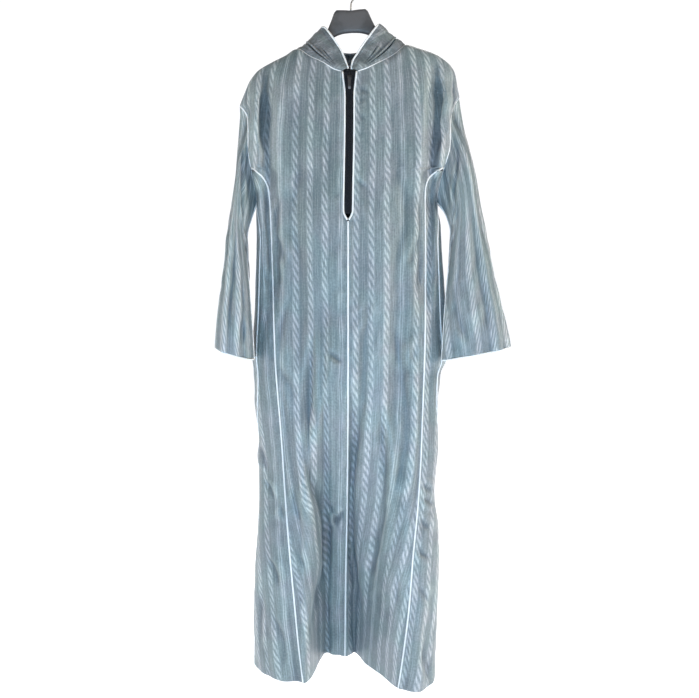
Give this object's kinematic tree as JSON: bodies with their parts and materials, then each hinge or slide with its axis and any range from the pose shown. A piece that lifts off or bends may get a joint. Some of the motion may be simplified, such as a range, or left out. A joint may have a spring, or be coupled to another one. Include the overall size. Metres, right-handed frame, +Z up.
{
  "type": "hooded djellaba robe on a hanger",
  "caption": "Full-length hooded robe with wide sleeves, side gores, corded seams and a zipped neck, hanging on a broad-shouldered hanger with a wire hook.",
  "frame": {"origin": "inside top of the hanger's hook, where it rests on the rail", "axes": "+X to the viewer's right as one looks at the robe's front, -Y the way the front faces, +Z up"},
  "size_m": [0.6322, 0.2714, 1.5441],
  "materials": {
    "striped_satin": "slate-blue satin with woven vertical rope stripes",
    "white_piping": "white corded piping",
    "zip_tape": "navy-black woven zip tape",
    "zip_metal": "dark enamelled slider and tab",
    "hanger_plastic": "charcoal moulded plastic, left bare",
    "hook_steel": "plain wire"
  },
  "bodies": {
    "robe_on_hanger": {"front_left": "striped_satin", "front_right": "striped_satin", "back": "striped_satin", "gore_front_left": "striped_satin", "gore_front_right": "striped_satin", "gore_back_left": "striped_satin", "gore_back_right": "striped_satin", "sleeve_left": "striped_satin", "sleeve_right": "striped_satin", "hood_left": "striped_satin", "hood_right": "striped_satin", "zip_tape_left": "zip_tape", "zip_tape_right": "zip_tape", "piping_placket_left": "white_piping", "piping_placket_right": "white_piping", "piping_armhole_left": "white_piping", "piping_armhole_right": "white_piping", "piping_gore_front_left": "white_piping", "piping_gore_front_right": "white_piping", "piping_gore_back_left": "white_piping", "piping_gore_back_right": "white_piping", "piping_side_left": "white_piping", "piping_side_right": "white_piping", "piping_underarm_left": "white_piping", "piping_underarm_right": "white_piping", "piping_cuff_left": "white_piping", "piping_cuff_right": "white_piping", "piping_centre": "white_piping", "piping_neck": "white_piping", "piping_hood": "white_piping", "zip_slider": "zip_metal", "hanger": "hanger_plastic", "hook": "hook_steel"},
    "zip_pull": {"zip_pull_tab": "zip_metal"}
  },
  "joints": [
    {"name": "pull_tab_hinge", "type": "hinge", "parent": "robe_on_hanger", "child": "zip_pull", "pos_m": [0, -0.04498, -0.21621], "axis": [-1, 0, 0], "range_deg": [0, 150]}
  ]
}
